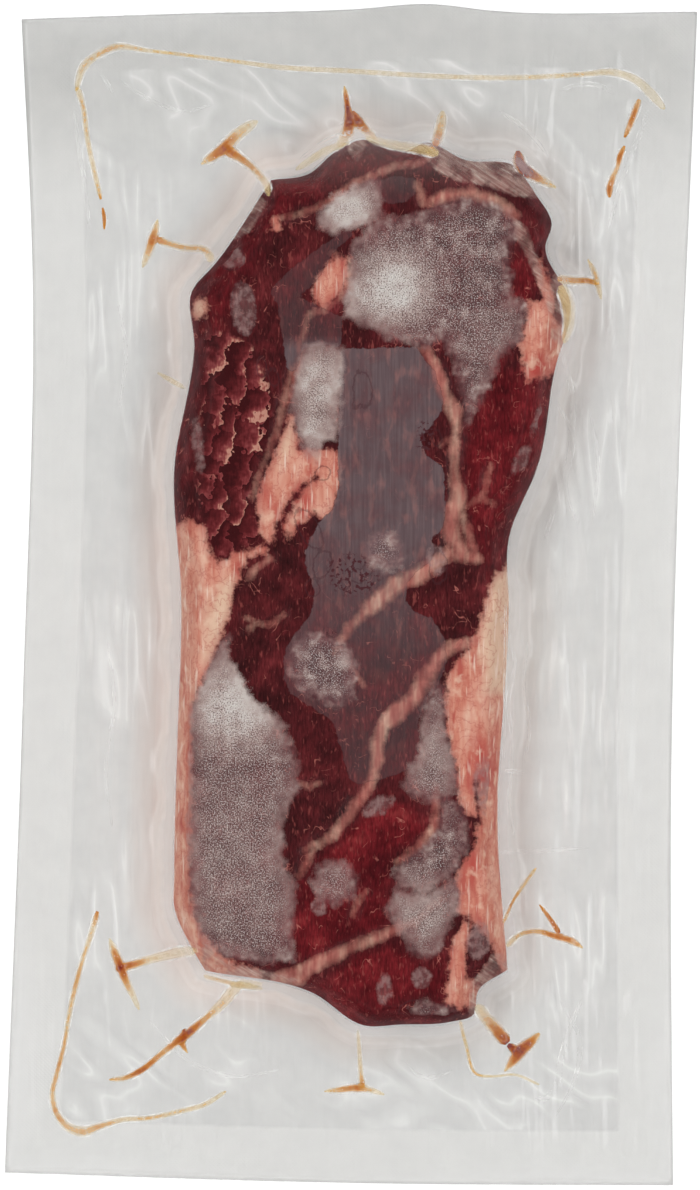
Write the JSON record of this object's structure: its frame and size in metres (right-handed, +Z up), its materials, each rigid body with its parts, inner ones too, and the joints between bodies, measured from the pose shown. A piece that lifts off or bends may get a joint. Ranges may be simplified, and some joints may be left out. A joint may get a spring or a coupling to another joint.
{
  "type": "raw beef steak in a vacuum pack",
  "caption": "Long boneless raw beef steak with fat seams and frost, sealed flat in a clear vacuum pack with a wide welded margin.",
  "frame": {"origin": "middle of the pack's outline, on the surface it lies on", "axes": "+Y along the pack's long side, towards the steak's wide end; +X across it; +Z up, out of the formed web"},
  "size_m": [0.2076, 0.3543, 0.025],
  "materials": {
    "beef": "satin",
    "film": "gloss",
    "fat": "satin",
    "purge": "gloss"
  },
  "bodies": {
    "root": {"steak": "beef", "vacuum_pack": "film"}
  },
  "joints": []
}
